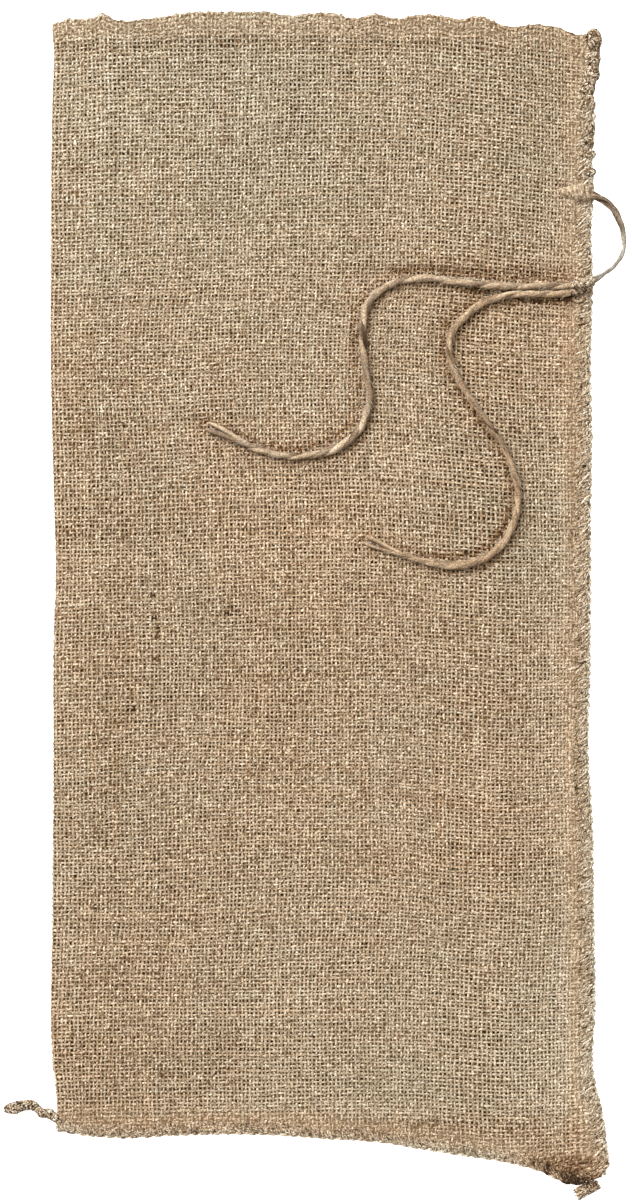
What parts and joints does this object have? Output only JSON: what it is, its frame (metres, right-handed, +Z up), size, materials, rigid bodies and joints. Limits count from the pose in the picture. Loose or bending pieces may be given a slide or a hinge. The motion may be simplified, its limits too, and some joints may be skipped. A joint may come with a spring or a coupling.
{
  "type": "burlap sack",
  "caption": "Empty burlap sack lying flat, open at the top, folded along one side, overcast along the other side and the bottom, with a loose twine tie sewn to its seam.",
  "frame": {"origin": "on the surface that the sack lies on, under the middle of its cloth", "axes": "+Y along the sack from its sewn bottom to its open mouth, +X from the folded edge to the sewn side seam, +Z up out of the front layer"},
  "size_m": [0.4068, 0.7696, 0.0139],
  "materials": {
    "jute_cloth": "matt, hairy, plain-woven jute with open holes between its threads",
    "seam_yarn": "matt jute sewing yarn, a little browner than the cloth",
    "jute_twine": "matt, softly twisted two-ply jute twine"
  },
  "bodies": {
    "root": {"sack_cloth": "jute_cloth", "seam_tail_left": "seam_yarn", "seam_tail_right": "seam_yarn", "tie_long": "jute_twine", "tie_short": "jute_twine"}
  },
  "joints": []
}
